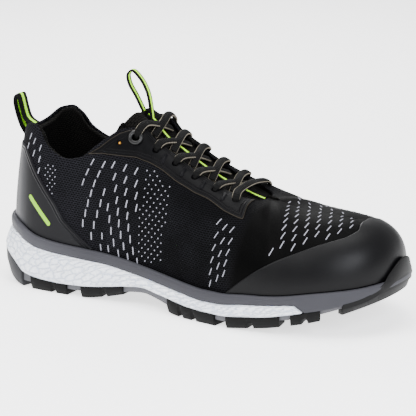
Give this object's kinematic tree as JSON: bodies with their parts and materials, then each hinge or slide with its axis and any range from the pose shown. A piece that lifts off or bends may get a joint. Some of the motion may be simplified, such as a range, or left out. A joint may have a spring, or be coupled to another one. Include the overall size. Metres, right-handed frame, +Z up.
{
  "type": "safety sneaker",
  "caption": "Low black safety sneaker for the right foot, with a knit upper, moulded toe cap, white foam midsole, lugged outsole and lime pull loops.",
  "frame": {"origin": "middle of the heel's flat contact with the floor, on the sole's centre line", "axes": "+X to the toe, +Y to the inner (medial) side of the foot, +Z up"},
  "size_m": [0.2964, 0.1136, 0.1537],
  "materials": {
    "knit": "matt black knit with light grey dashes",
    "film": "satin moulded film",
    "lining": "matt padded mesh",
    "lace_cord": "woven flat cord",
    "lime_webbing": "woven webbing, lime centre with black edges",
    "black_gloss": "gloss",
    "grey_rubber": "matt",
    "white_foam": "pebbled foam",
    "black_rubber": "matt"
  },
  "bodies": {
    "root": {"ball_bar_1": "black_rubber", "ball_bar_2": "black_rubber", "ball_bar_3": "black_rubber", "ball_bar_4": "black_rubber", "ball_bar_5": "black_rubber", "ball_bar_6": "black_rubber", "ball_block_lateral_1": "black_rubber", "ball_block_lateral_2": "black_rubber", "ball_block_lateral_3": "black_rubber", "ball_block_medial_1": "black_rubber", "ball_block_medial_2": "black_rubber", "ball_block_medial_3": "black_rubber", "eyelet_ring_lateral": "black_gloss", "eyelet_ring_medial": "black_gloss", "eyestay_lateral": "film", "eyestay_medial": "film", "heel_bar_1": "black_rubber", "heel_bar_2": "black_rubber", "heel_bar_3": "black_rubber", "heel_block_lateral_1": "black_rubber", "heel_block_lateral_2": "black_rubber", "heel_block_medial_1": "black_rubber", "heel_block_medial_2": "black_rubber", "heel_block_rear": "black_rubber", "heel_counter": "film", "heel_pull_loop": "lime_webbing", "insole": "lining", "lace_bar": "lace_cord", "lace_crossing_1": "lace_cord", "lace_crossing_2": "lace_cord", "lace_crossing_3": "lace_cord", "lace_crossing_4": "lace_cord", "lace_crossing_5": "lace_cord", "midsole_foam": "white_foam", "midsole_frame": "grey_rubber", "outsole_base": "grey_rubber", "toe_block": "black_rubber", "toe_cap": "film", "tongue": "lining", "tongue_pull_loop": "lime_webbing", "tongue_strip": "lime_webbing", "upper": "knit"}
  },
  "joints": []
}
